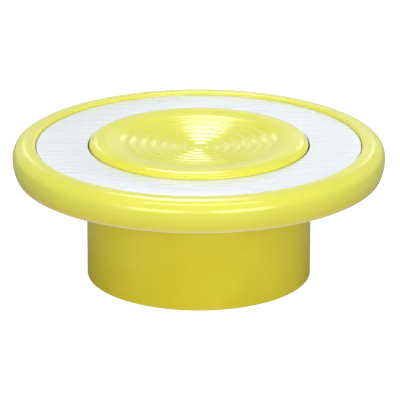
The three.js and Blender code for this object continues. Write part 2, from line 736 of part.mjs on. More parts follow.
function buildRearCover() {
  const screwPoints = FACING_SET.map((angle) => polar(CASE_SCREW_CIRCLE, angle));
  const counterbore = COVER_BOTTOM + 0.9;
  const entryHole = CABLE_ENTRY_RADIUS + 1.6;
  const cover = post(BARREL_BORE - GAP, COVER_BOTTOM, COVER_TOP, FINE);
  const cuts = [
    ...screwPoints.map(([x, y]) => post(3.1, 0, counterbore, 16).translate(x, y, 0)),
    ...screwPoints.map(([x, y]) => post(1.6, 0, COVER_TOP + 1).translate(x, y, 0)),
    post(entryHole, 0, COVER_TOP + 1, 24).translate(...CABLE_ENTRY, 0),
  ];
  piece("rear_cover", carved(cover, { cuts }), GREY_PLASTIC);
  const seal = flatRing(REAR_LEDGE_BORE + 0.4, BARREL_BORE - 0.4, COVER_TOP + GAP, LEDGE_SEAT - GAP);
  piece("rear_cover_seal", seal, BLACK_RUBBER);
  const screw = panScrew(1.3, 11.8, 2.7, 1.0);
  pieces("case_screw", screw, STEEL, screwPoints, counterbore - 0.1, true);

  const grommet = ring(
    [
      [CABLE_ENTRY_RADIUS, COVER_BOTTOM - 0.5],
      [entryHole + 1.1, COVER_BOTTOM - 0.5],
      [entryHole + 1.1, COVER_BOTTOM - 0.1],
      [entryHole - GAP, COVER_BOTTOM - 0.1],
      [entryHole - GAP, COVER_TOP + 0.2],
      [entryHole + 0.9, COVER_TOP + 0.2],
      [entryHole + 0.9, COVER_TOP + 0.9],
      [CABLE_ENTRY_RADIUS, COVER_TOP + 0.9],
    ],
    24,
  );
  piece("cable_grommet", grommet, BLACK_RUBBER).position.set(...CABLE_ENTRY, 0);
}

// ---------------------------------------------------------------- assembly

buildBezel();
buildInlay();
buildPanelInterface();
buildCap();
buildPlunger();
buildReturnSpring();
buildCarrier();
buildSwitchBody();
buildSwitchMovement();
buildSwitchBracket();
buildTerminalBlock();
buildLeads();
buildBarrel();
buildRearCover();

export default button;
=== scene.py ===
"""A lit pedestrian push button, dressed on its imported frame.

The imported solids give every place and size. This script makes the fine visible shells (bezel, inlay
ring, dished cap, barrel and the rear parts), gives each hidden piece the finish of its real
material, and stands the button on a pale studio floor.
"""

import json
import logging
import math
from collections.abc import Callable, Iterable, Sequence
from dataclasses import dataclass
from enum import Enum
from typing import Any

import bpy
from mathutils import Matrix, Vector


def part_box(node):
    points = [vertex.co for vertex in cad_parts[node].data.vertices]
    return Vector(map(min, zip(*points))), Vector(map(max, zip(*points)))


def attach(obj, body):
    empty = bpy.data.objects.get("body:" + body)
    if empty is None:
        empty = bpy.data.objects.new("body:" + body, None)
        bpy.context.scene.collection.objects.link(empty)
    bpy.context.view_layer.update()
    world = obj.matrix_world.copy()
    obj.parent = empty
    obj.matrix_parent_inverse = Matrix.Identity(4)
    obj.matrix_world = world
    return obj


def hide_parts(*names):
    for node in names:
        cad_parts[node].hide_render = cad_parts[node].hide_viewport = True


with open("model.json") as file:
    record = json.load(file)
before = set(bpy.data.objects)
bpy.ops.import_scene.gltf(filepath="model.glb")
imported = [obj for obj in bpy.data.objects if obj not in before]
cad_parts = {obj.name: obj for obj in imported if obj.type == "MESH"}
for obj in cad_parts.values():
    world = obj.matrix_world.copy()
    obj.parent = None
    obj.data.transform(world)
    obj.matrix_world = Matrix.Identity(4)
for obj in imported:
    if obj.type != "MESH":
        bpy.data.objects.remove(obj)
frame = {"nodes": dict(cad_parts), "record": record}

LOG = logging.getLogger("push_button")
MM = 0.001
TAU = 2 * math.pi
HOUSING = "housing"
CAP = "cap"
SHARP_DEGREES = 32  # edges that turn more than this stay sharp
ROUND = 288  # facets round the large visible shells
FACING = (90, 210, 330)  # angles of the case screws and the cap's screws
BETWEEN = (30, 150, 270)  # angles of the carrier screws and the inserts

Point = tuple[float, float]
Colour = tuple[float, float, float, float]
Solid = bpy.types.Object
Node = bpy.types.Node
Socket = bpy.types.NodeSocket
Tree = bpy.types.NodeTree


class Part(Enum):
    """The record's material slots that the new pieces take their finish from."""

    BEZEL = "lemon_polycarbonate"
    CAP = "lemon_cap"
    BARREL = "lemon_barrel"
    INLAY = "brushed_inlay"
    BRASS = "brass"
    RUBBER = "black_rubber"
    STEEL = "zinc_steel"
    GREY = "grey_plastic"


# ------------------------------------------------------------------ small tools


def linear(hex_code: str) -> Colour:
    """Turns an sRGB hex colour to linear RGBA.

    Args:
        hex_code: A colour such as "#e2e35c".

    Returns:
        The linear red, green, blue and an alpha of 1.
    """
    channels = [int(hex_code[i : i + 2], 16) / 255 for i in (1, 3, 5)]
    decoded = [c / 12.92 if c <= 0.04045 else ((c + 0.055) / 1.055) ** 2.4 for c in channels]
    return (decoded[0], decoded[1], decoded[2], 1.0)


def add_node(
    tree: Tree,
    kind: str,
    settings: dict[str | int, Any] | None = None,
    links: dict[str | int, Socket] | None = None,
) -> Node:
    """Adds one node to a tree.

    Args:
        tree: The node tree.
        kind: The node's type, such as "ShaderNodeTexNoise".
        settings: Properties of the node and default values of its inputs, by name.
        links: Output sockets to join to the node's inputs, by the input's name.

    Returns:
        The new node.
    """
    node = tree.nodes.new(kind)
    for name, value in (settings or {}).items():
        if isinstance(name, int) or name in node.inputs:
            node.inputs[name].default_value = value
        else:
            setattr(node, name, value)
    for name, source in (links or {}).items():
        tree.links.new(source, node.inputs[name])
    return node


def ramp(tree: Tree, source: Socket, stops: Sequence[tuple[float, Colour]]) -> Socket:
    """Adds a colour ramp.

    Args:
        tree: The node tree.
        source: The socket that drives the ramp.
        stops: Position and colour of each stop, in rising order.

    Returns:
        The ramp's colour output.
    """
    node = add_node(tree, "ShaderNodeValToRGB", links={"Fac": source})
    elements = node.color_ramp.elements
    for position, _ in stops[2:]:
        elements.new(position)
    for element, (position, colour) in zip(elements, stops):
        element.position = position
        element.color = colour
    return node.outputs["Color"]


def grey(value: float) -> Colour:
    """Gives a neutral linear colour."""
    return (value, value, value, 1.0)


# ------------------------------------------------------------------ outlines and meshes


def fillet(corners: Sequence[tuple[float, float, float]], steps: int = 5) -> list[Point]:
    """Rounds the corners of a closed outline.

    Args:
        corners: Radius, height and setback of each corner. A setback of 0 keeps the corner sharp.
        steps: Segments in each rounded corner.

    Returns:
        The outline's points, with each rounded corner as a short curve.
    """
    points: list[Point] = []
    for i, (r, z, setback) in enumerate(corners):
        here = Vector((r, z))
        if setback <= 0:
            points.append((r, z))
            continue
        before = Vector(corners[i - 1][:2]) - here
        after = Vector(corners[(i + 1) % len(corners)][:2]) - here
        start = here + before.normalized() * min(setback, before.length / 2)
        end = here + after.normalized() * min(setback, after.length / 2)
        for k in range(steps + 1):
            t = k / steps
            at = start * (1 - t) ** 2 + here * 2 * t * (1 - t) + end * t**2
            points.append((at.x, at.y))
    return points


def shoulder(top: Point, side: Point, exponent: float, steps: int) -> list[Point]:
    """Draws a superellipse quarter from a level top to an upright side.

    Args:
        top: Radius and height of the top, where the curve is level.
        side: Radius and height of the side, where the curve is upright.
        exponent: 2 gives an ellipse, and more gives a squarer shoulder.
        steps: Segments in the curve.

    Returns:
        Points from the top to the side, both included.
    """
    points = []
    for k in range(steps + 1):
        angle = k / steps * math.pi / 2
        across = math.sin(angle) ** (2 / exponent)
        up = math.cos(angle) ** (2 / exponent)
        points.append((top[0] + (side[0] - top[0]) * across, side[1] + (top[1] - side[1]) * up))
    return points


def smooth(mesh: bpy.types.Mesh) -> None:
    """Shades a mesh smooth, apart from its sharp edges."""
    mesh.shade_smooth()
    mesh.set_sharp_from_angle(angle=math.radians(SHARP_DEGREES))


def mesh_object(name: str, verts: Sequence[Any], faces: Sequence[Any]) -> Solid:
    """Makes a smooth-shaded object from vertices and faces.

    Args:
        name: The object's name.
        verts: Vertex places in metres.
        faces: Vertex numbers of each face, anticlockwise from outside.

    Returns:
        The new object, linked to the scene.
    """
    mesh = bpy.data.meshes.new(name)
    mesh.from_pydata(verts, [], faces)
    mesh.validate()
    smooth(mesh)
    made = bpy.data.objects.new(name, mesh)
    bpy.context.scene.collection.objects.link(made)
    return made


def in_metres(outline: Iterable[Point]) -> list[Point]:
    """Turns an outline in millimetres to metres."""
    return [(r * MM, z * MM) for r, z in outline]


def revolve(name: str, outline: Sequence[Point], segments: int, centre: Point = (0.0, 0.0)) -> Solid:
    """Turns an outline about the Z axis into a closed body.

    Args:
        name: The object's name.
        outline: Radius and height in metres, anticlockwise. It closes on itself, or starts and ends
            on the axis.
        segments: Facets round the axis.
        centre: X and Y of the axis in metres.

    Returns:
        The new object.
    """
    on_axis = outline[0][0] < 1e-9
    rows = outline[1:-1] if on_axis else outline
    verts: list[tuple[float, float, float]] = []
    for r, z in rows:
        for k in range(segments):
            angle = k / segments * TAU
            verts.append((centre[0] + r * math.cos(angle), centre[1] + r * math.sin(angle), z))
    faces: list[tuple[int, ...]] = []
    for i in range(len(rows) - 1 if on_axis else len(rows)):
        low = i * segments
        high = (i + 1) % len(rows) * segments
        for k in range(segments):
            after = (k + 1) % segments
            faces.append((low + k, low + after, high + after, high + k))
    if on_axis:
        first, last = len(verts), len(verts) + 1
        verts += [(*centre, outline[0][1]), (*centre, outline[-1][1])]
        top = (len(rows) - 1) * segments
        for k in range(segments):
            after = (k + 1) % segments
            faces.append((first, after, k))
            faces.append((last, top + k, top + after))
    return mesh_object(name, verts, faces)


def prism(name: str, outline: Sequence[Point], low: float, high: float) -> Solid:
    """Stands a flat convex outline up between two heights.

    Args:
        name: The object's name.
        outline: X and Y in metres, anticlockwise.
        low: The lower height in metres.
        high: The upper height in metres.

    Returns:
        The new object.
    """
    count = len(outline)
    verts = [(x, y, low) for x, y in outline] + [(x, y, high) for x, y in outline]
    faces: list[tuple[int, ...]] = [tuple(reversed(range(count))), tuple(range(count, 2 * count))]
    faces += [(i, (i + 1) % count, (i + 1) % count + count, i + count) for i in range(count)]
    return mesh_object(name, verts, faces)


def cylinder_outline(radius: float, low: float, high: float) -> list[Point]:
    """Gives the outline of a plain upright cylinder, for use as a cutter."""
    return [(0.0, low), (radius, low), (radius, high), (0.0, high)]


def carve(body: Solid, cutters: Iterable[Solid], joined: Iterable[Solid] = ()) -> None:
    """Joins bodies to another, cuts bodies out of it, and throws the tools away.

    Args:
        body: The object that is changed.
        cutters: The closed bodies to take out of it.
        joined: The closed bodies to join to it first.
    """
    bpy.context.view_layer.update()
    jobs = [(tool, "UNION") for tool in joined] + [(tool, "DIFFERENCE") for tool in cutters]
    for cutter, operation in jobs:
        cut = body.modifiers.new("cut", "BOOLEAN")
        cut.operation = operation
        cut.solver = "EXACT"
        cut.object = cutter
        graph = bpy.context.evaluated_depsgraph_get()
        made = bpy.data.meshes.new_from_object(body.evaluated_get(graph))
        body.modifiers.remove(cut)
        old = body.data
        body.data = made
        bpy.data.meshes.remove(old)
        bpy.data.objects.remove(cutter)
    smooth(body.data)


def on_circle(radius: float, degrees: Iterable[float]) -> list[Point]:
    """Gives the points at some angles on a circle about the axis."""
    angles = [math.radians(d) for d in degrees]
    return [(radius * math.cos(a), radius * math.sin(a)) for a in angles]


def posts(
    name: str, points: Iterable[Point], radius: float, low: float, high: float
) -> list[Solid]:
    """Stands equal cylinders at some points, for joining or cutting.

    Args:
        name: The start of the objects' names.
        points: X and Y of each, in millimetres.
        radius: Their radius in millimetres.
        low: Their lower height in millimetres.
        high: Their upper height in millimetres.

    Returns:
        The new objects.
    """
    outline = cylinder_outline(radius * MM, low * MM, high * MM)
    return [
        revolve(f"{name}_{i}", outline, segments=48, centre=(x * MM, y * MM))
        for i, (x, y) in enumerate(points)
    ]


def extents(node: str) -> tuple[float, float, float]:
    """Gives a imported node's reach along X, its bottom and its top, in millimetres."""
    low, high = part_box(node)
    return (high[0] / MM, low[2] / MM, high[2] / MM)


def centre_of(node: str) -> Vector:
    """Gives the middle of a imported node's box."""
    low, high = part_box(node)
    return (Vector(low) + Vector(high)) / 2


# ------------------------------------------------------------------ finishes


@dataclass(frozen=True)
class Finish:
    """A surface finish, which becomes one material."""

    name: str

    def dress(self, tree: Tree, shader: Node) -> None:
        """Sets the shader up. Each kind of finish has its own way."""
        raise NotImplementedError

    def material(self) -> bpy.types.Material:
        """Gives the finish's material, made on first use."""
        known = bpy.data.materials.get(self.name)
        if known:
            return known
        made = bpy.data.materials.new(self.name)
        made.use_nodes = True
        tree = made.node_tree
        self.dress(tree, tree.nodes["Principled BSDF"])
        return made


def set_inputs(shader: Node, values: dict[str, Any]) -> None:
    """Sets some of a shader's inputs by name."""
    for name, value in values.items():
        shader.inputs[name].default_value = value


def place_of(tree: Tree, stretch: tuple[float, float, float] = (1, 1, 1)) -> Socket:
    """Gives the object-space place in metres, stretched along the axes.

    Args:
        tree: The node tree.
        stretch: Factors along X, Y and Z.

    Returns:
        The vector socket.
    """
    place = add_node(tree, "ShaderNodeTexCoord").outputs["Object"]
    mapping = add_node(tree, "ShaderNodeMapping", {"Scale": stretch}, {"Vector": place})
    return mapping.outputs["Vector"]


def noise(
    tree: Tree, vector: Socket, feature_mm: float, detail: float = 2.0, roughness: float = 0.5
) -> Socket:
    """Adds noise whose features have a real size.

    Args:
        tree: The node tree.
        vector: The place in metres.
        feature_mm: Size of one feature in millimetres.
        detail: Octaves of finer detail.
        roughness: Weight of the finer detail.

    Returns:
        The noise factor.
    """
    settings = {"Scale": 1 / (feature_mm * MM), "Detail": detail, "Roughness": roughness}
    return add_node(tree, "ShaderNodeTexNoise", settings, {"Vector": vector}).outputs["Fac"]


def paint(
    tree: Tree, shader: Node, source: Socket, low: tuple[float, str], high: tuple[float, str]
) -> None:
    """Colours the shader from one tone to another as a pattern rises.

    Args:
        tree: The node tree.
        shader: The shader.
        source: The pattern.
        low: Where the first tone ends, and its hex colour.
        high: Where the second tone begins, and its hex colour.
    """
    tone = ramp(tree, source, [(at, linear(code)) for at, code in (low, high)])
    tree.links.new(tone, shader.inputs["Base Color"])


def vary_roughness(tree: Tree, shader: Node, source: Socket, mean: float, spread: float) -> None:
    """Lets a pattern vary the shader's roughness by a share of its mean to either side."""
    stops = [(0.3, grey(mean * (1 - spread))), (0.7, grey(mean * (1 + spread)))]
    tree.links.new(ramp(tree, source, stops), shader.inputs["Roughness"])


def relief(tree: Tree, shader: Node, height: Socket, depth_mm: float) -> None:
    """Joins a bump of a real depth to the shader's normal."""
    settings = {"Strength": 1.0, "Distance": depth_mm * MM}
    bump = add_node(tree, "ShaderNodeBump", settings, {"Height": height})
    tree.links.new(bump.outputs["Normal"], shader.inputs["Normal"])


@dataclass(frozen=True)
class MouldedPlastic(Finish):
    """Injection-moulded plastic: a smooth or finely sparked skin, with faint flow in its colour."""

    colour: str = "#888888"
    flow: str = "#808080"
    roughness: float = 0.3
    ior: float = 1.5
    gloss: float = 0.5
    flow_mm: float = 14.0
    grain_mm: float = 0.9
    grain_depth_mm: float = 0.002
    glow: float = 0.0
    glow_mm: float = 2.0

    def dress(self, tree: Tree, shader: Node) -> None:
        """Mixes two close tones by soft noise, and adds the mould's grain."""
        place = place_of(tree)
        flow = noise(tree, place, self.flow_mm, detail=3)
        tone = ramp(tree, flow, [(0.35, linear(self.flow)), (0.65, linear(self.colour))])
        # For the flange's plastic, tint paints a darker reflection and a pale edge glow into the colour
        # here.
        tree.links.new(self.tint(tree, place, tone), shader.inputs["Base Color"])
        grain = noise(tree, place, self.grain_mm, detail=4)
        vary_roughness(tree, shader, grain, self.roughness, 0.08)
        relief(tree, shader, grain, self.grain_depth_mm)
        values = {
            "IOR": self.ior,
            "Specular IOR Level": self.gloss,
            "Subsurface Weight": self.glow,
            "Subsurface Radius": (1.0, 1.0, 0.25),
            "Subsurface Scale": self.glow_mm * MM,
        }
        set_inputs(shader, values)

    def tint(self, tree: Tree, place: Socket, tone: Socket) -> Socket:
        """Leaves the tone as it is. The flange's plastic paints a darker reflection and a pale edge
        glow over it.
        """
        return tone


@dataclass(frozen=True)
class PlasticWithPaintedLight(MouldedPlastic):
    """Clear-tinted plastic with painted light: a painted darker, warmer reflection low on its outer
    side towards the foot, and a painted pale line of glow along the foot's edge below.
    """

    # Painted reflection: a darker, warmer tone near the flange's foot.
    painted_reflection: str = "#ecdf4e"
    # Painted glow: a pale line of light along the flange's sharp foot edge.
    painted_edge_glow: str = "#faeeb0"
    foot_mm: float = 24.5
    rim_mm: float = 42.2
    rim_fade_mm: float = 0.3
    painted_edge_glow_mm: float = 1.0
    painted_reflection_mm: float = 4.0

    def tint(self, tree: Tree, place: Socket, tone: Socket) -> Socket:
        """Fades the painted darker reflection in towards the foot, and the painted edge glow over the
        last of it.
        """
        height = add_node(tree, "ShaderNodeSeparateXYZ", links={"Vector": place}).outputs["Z"]
        flatten = {"operation": "MULTIPLY", 1: (1, 1, 0)}
        level = add_node(tree, "ShaderNodeVectorMath", flatten, {0: place}).outputs["Vector"]
        length = add_node(tree, "ShaderNodeVectorMath", {"operation": "LENGTH"}, {0: level})
        rim = {"From Min": (self.rim_mm - self.rim_fade_mm) * MM, "From Max": self.rim_mm * MM}
        outside = add_node(tree, "ShaderNodeMapRange", rim, {"Value": length.outputs["Value"]})
        # Paints a darker reflection towards the foot and a pale glowing line at the foot edge, on the
        # flange's outer side only.
        for colour, reach in ((self.painted_reflection, self.painted_reflection_mm), (self.painted_edge_glow, self.painted_edge_glow_mm)):
            span = {
                "From Min": self.foot_mm * MM,
                "From Max": (self.foot_mm + reach) * MM,
                "To Min": 1.0,
                "To Max": 0.0,
            }
            share = add_node(tree, "ShaderNodeMapRange", span, {"Value": height})
            both = {0: share.outputs["Result"], 1: outside.outputs["Result"]}
            masked = add_node(tree, "ShaderNodeMath", {"operation": "MULTIPLY"}, both)
            blend = {"data_type": "RGBA", 7: linear(colour)}
            joined = {0: masked.outputs["Value"], 6: tone}
            tone = add_node(tree, "ShaderNodeMix", blend, joined).outputs[2]
        return tone


@dataclass(frozen=True)
class BrushedMetal(Finish):
    """Sheet or turned metal with straight brushing strokes."""

    colour: str = "#cccccc"
    shade: str = "#bbbbbb"
    roughness: float = 0.3
    stroke_mm: float = 12.0
    spacing_mm: float = 0.25
    depth_mm: float = 0.002
    slant: float = 0.0
    metallic: float = 1.0

    def dress(self, tree: Tree, shader: Node) -> None:
        """Stretches noise along X for the strokes, in the colour, the roughness and the relief."""
        place = add_node(tree, "ShaderNodeTexCoord").outputs["Object"]
        settings = {
            "Rotation": (0, 0, math.radians(self.slant)),
            "Scale": (self.spacing_mm / self.stroke_mm, 1, 1),
        }
        along = add_node(tree, "ShaderNodeMapping", settings, {"Vector": place}).outputs["Vector"]
        strokes = noise(tree, along, self.spacing_mm, detail=3, roughness=0.6)
        paint(tree, shader, strokes, (0.3, self.shade), (0.7, self.colour))
        vary_roughness(tree, shader, strokes, self.roughness, 0.15)
        relief(tree, shader, strokes, self.depth_mm)
        shader.inputs["Metallic"].default_value = self.metallic


@dataclass(frozen=True)
class SmoothMetal(Finish):
    """Plated, drawn or turned metal: even, with faint cloudiness and fine tool marks round Z."""

    colour: str = "#bbbbbb"
    cloud: str = "#aaaaaa"
    roughness: float = 0.3
    mark_mm: float = 0.12
    depth_mm: float = 0.002

    def dress(self, tree: Tree, shader: Node) -> None:
        """Clouds the colour and the roughness, and lays close level marks in the relief."""
        place = place_of(tree)
        cloud = noise(tree, place, 2.5, detail=4)
        paint(tree, shader, cloud, (0.3, self.cloud), (0.7, self.colour))
        vary_roughness(tree, shader, cloud, self.roughness, 0.2)
        marks = noise(tree, place_of(tree, (0.05, 0.05, 1)), self.mark_mm, detail=2)
        relief(tree, shader, marks, self.depth_mm)
        shader.inputs["Metallic"].default_value = 1.0


@dataclass(frozen=True)
class MouldedRubber(Finish):
    """Compression-moulded black rubber: matt, with a soft bloom and a fine skin."""

    colour: str = "#1b1b1c"
    bloom: str = "#2b2b2c"
    roughness: float = 0.75

    def dress(self, tree: Tree, shader: Node) -> None:
        """Dusts the black with a paler bloom and gives the skin a fine tooth."""
        place = place_of(tree)
        bloom = noise(tree, place, 3.0, detail=5)
        paint(tree, shader, bloom, (0.4, self.colour), (0.75, self.bloom))
        tooth = noise(tree, place, 0.15, detail=3)
        relief(tree, shader, tooth, 0.01)
        shader.inputs["Roughness"].default_value = self.roughness


@dataclass(frozen=True)
class BoardLaminate(Finish):
    """Glass-epoxy circuit board under green solder resist."""

    resist: str = "#1c6a3b"
    track: str = "#2c8a4e"
    track_mm: float = 6.4
    weave_mm: float = 0.6

    def dress(self, tree: Tree, shader: Node) -> None:
        """Lays copper tracks under the resist as paler bands, over a faint glass weave."""
        place = place_of(tree)
        rings = {
            "wave_type": "RINGS",
            "rings_direction": "Z",
            "Scale": 1 / (self.track_mm * MM),
            "Distortion": 0.6,
        }
        bands = add_node(tree, "ShaderNodeTexWave", rings, {"Vector": place}).outputs["Fac"]
        paint(tree, shader, bands, (0.72, self.resist), (0.78, self.track))
        squares = {"Scale": 1 / (self.weave_mm * MM)}
        weave = add_node(tree, "ShaderNodeTexChecker", squares, {"Vector": place}).outputs["Fac"]
        relief(tree, shader, weave, 0.004)
        set_inputs(shader, {"Roughness": 0.32, "Coat Weight": 0.4, "Coat Roughness": 0.15})


@dataclass(frozen=True)
class CastEpoxy(Finish):
    """Clear warm epoxy of a lamp's lens, cast over its phosphor."""

    colour: str = "#fff1c2"
    phosphor: str = "#f3c84e"

    def dress(self, tree: Tree, shader: Node) -> None:
        """Lets some light through and shows the yellow phosphor in the lens."""
        cloud = noise(tree, place_of(tree), 1.2, detail=2)
        paint(tree, shader, cloud, (0.35, self.phosphor), (0.6, self.colour))
        set_inputs(shader, {"Roughness": 0.12, "IOR": 1.54, "Transmission Weight": 0.45})


# Polycarbonate tinted fluorescent lemon, gloss-moulded: a soft glow under a smooth skin, with a painted
# warmer, darker reflection towards the flange's foot and a painted pale line of light along its sharp
# edge.
LEMON_POLYCARBONATE = PlasticWithPaintedLight(
    "lemon_polycarbonate_gloss_moulded",
    colour="#e7e65c",
    flow="#e3e355",
    roughness=0.2,
    ior=1.585,
    grain_mm=1.6,
    grain_depth_mm=0.003,
    glow=0.5,
    glow_mm=2.5,
)
# The same resin in the thinner cap, a little paler because the diffuser lies behind it.
LEMON_CAP = MouldedPlastic(
    "lemon_polycarbonate_cap_moulded",
    colour="#e9e854",
    flow="#e6e64c",
    roughness=0.17,
    ior=1.585,
    gloss=0.4,
    grain_mm=1.4,
    grain_depth_mm=0.002,
    glow=0.5,
    glow_mm=2.5,
)
# The barrel's ABS takes the same dye but is opaque: a deeper, warmer yellow with a wet gloss, partly
# the opaque resin and partly painted shade from under the flange.
YELLOW_ABS = MouldedPlastic(
    "yellow_abs_gloss_moulded",
    colour="#e3d43e",
    flow="#ddcd34",
    roughness=0.24,
    ior=1.54,
    gloss=0.22,
    grain_mm=1.8,
    grain_depth_mm=0.003,
    glow=0.15,
    glow_mm=1.5,
)
# Anodised aluminium sheet, line-brushed: pale blue-white with very fine level strokes.
BRUSHED_ALUMINIUM = BrushedMetal(
    "anodised_aluminium_line_brushed",
    colour="#eef3f6",
    shade="#e6ebf0",
    roughness=0.3,
    stroke_mm=9.0,
    spacing_mm=0.25,
    depth_mm=0.0009,
    slant=-2.0,
    metallic=0.4,
)
# Free-cutting brass, turned: warm and bright, with close tool marks.
TURNED_BRASS = SmoothMetal("brass_turned", colour="#d9b25f", cloud="#c49a45", roughness=0.26)
# Sintered bronze: dull and porous, darker than brass.
SINTERED_BRONZE = SmoothMetal(
    "bronze_sintered", colour="#b08a52", cloud="#94703c", roughness=0.48, depth_mm=0.006
)
# Zinc-plated steel: cool grey with a slight cloud in the plating.
ZINC_STEEL = SmoothMetal("steel_zinc_plated", colour="#c9ccd0", cloud="#b3b7bc", roughness=0.3)
# Drawn spring steel: darker and shinier, with marks along the draw.
SPRING_STEEL = SmoothMetal("spring_steel_drawn", colour="#a9adb1", cloud="#8d9195", roughness=0.24)
# EPDM rubber, moulded: near black, with a faint grey bloom.
EPDM_RUBBER = MouldedRubber("epdm_rubber_moulded")
# Glass-filled nylon, spark-eroded mould: dark grey with a dry, fine grain.
GREY_NYLON = MouldedPlastic(
    "glass_nylon_grained",
    colour="#55595c",
    flow="#4d5154",
    roughness=0.52,
    grain_mm=0.35,
    grain_depth_mm=0.02,
)
# Opal acrylic, moulded: white and milky, so that the lamps show as a soft field.
OPAL_ACRYLIC = MouldedPlastic(
    "opal_acrylic_moulded",
    colour="#f3f4ef",
    flow="#eceee8",
    roughness=0.45,
    ior=1.49,
    glow=0.6,
    glow_mm=3.0,
)
# Acetal, moulded: off-white and waxy.
WHITE_ACETAL = MouldedPlastic(
    "acetal_moulded", colour="#edebe3", flow="#e5e2d8", roughness=0.38, ior=1.48, glow=0.2, glow_mm=1.0
)
# Phenolic case of the microswitch: black with a fine grain.
BLACK_PHENOLIC = MouldedPlastic(
    "phenolic_moulded",
    colour="#1f2022",
    flow="#17181a",
    roughness=0.42,
    grain_mm=0.3,
    grain_depth_mm=0.012,
)
# Red nylon of the microswitch's stem: saturated, with a soft gloss.
RED_NYLON = MouldedPlastic("red_nylon_moulded", colour="#b5281f", flow="#a3221a", roughness=0.35)
# Green polyamide of the terminal block: slightly waxy.
GREEN_POLYAMIDE = MouldedPlastic(
    "green_polyamide_moulded", colour="#2f8f5b", flow="#28804f", roughness=0.46
)
# PVC insulation, extruded: smooth and softly glossy.
RED_PVC = MouldedPlastic(
    "red_pvc_extruded", colour="#a9261c", flow="#9b2018", roughness=0.4, flow_mm=4
)
BLACK_PVC = MouldedPlastic(
    "black_pvc_extruded", colour="#1a1b1d", flow="#121315", roughness=0.4, flow_mm=4
)
# Clear adhesive film with a milky edge.
ADHESIVE_FILM = MouldedPlastic(
    "acrylic_adhesive_film", colour="#d9dde0", flow="#cfd4d8", roughness=0.6
)
# Glass-epoxy board under green resist.
LAMP_BOARD = BoardLaminate("glass_epoxy_board")
# Warm clear lens of each lamp.
LAMP_EPOXY = CastEpoxy("epoxy_lens_cast")

# The finish of each of the record's material slots.
FINISHES: dict[str, Finish] = {
    "adhesive_film": ADHESIVE_FILM,
    "brass": TURNED_BRASS,
    "black_rubber": EPDM_RUBBER,
    "opal_plastic": OPAL_ACRYLIC,
    "white_acetal": WHITE_ACETAL,
    "bronze": SINTERED_BRONZE,
    "zinc_steel": ZINC_STEEL,
    "spring_steel": SPRING_STEEL,
    "grey_plastic": GREY_NYLON,
    "board_laminate": LAMP_BOARD,
    "lamp_lens": LAMP_EPOXY,
    "black_plastic": BLACK_PHENOLIC,
    "red_plastic": RED_NYLON,
    "block_plastic": GREEN_POLYAMIDE,
    "red_wire": RED_PVC,
    "black_wire": BLACK_PVC,
    "lemon_polycarbonate": LEMON_POLYCARBONATE,
    "lemon_cap": LEMON_CAP,
    "lemon_barrel": YELLOW_ABS,
    "brushed_inlay": BRUSHED_ALUMINIUM,
}


# ------------------------------------------------------------------ assembly


def install(piece: Solid, part: Part, body: str, replaced: Sequence[str]) -> Solid:
    """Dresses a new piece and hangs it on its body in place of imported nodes.

    Args:
        piece: The finished mesh object.
        part: The record's slot that it takes its finish from.
        body: The body that it rides on.
        replaced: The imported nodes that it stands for.

    Returns:
        The same object.
    """
    piece.data.materials.clear()
    piece.data.materials.append(FINISHES[part.value].material())
    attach(piece, body)
    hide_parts(*replaced)
    LOG.info("%s: %s on %s, %d faces", piece.name, part.value, body, len(piece.data.polygons))
    return piece


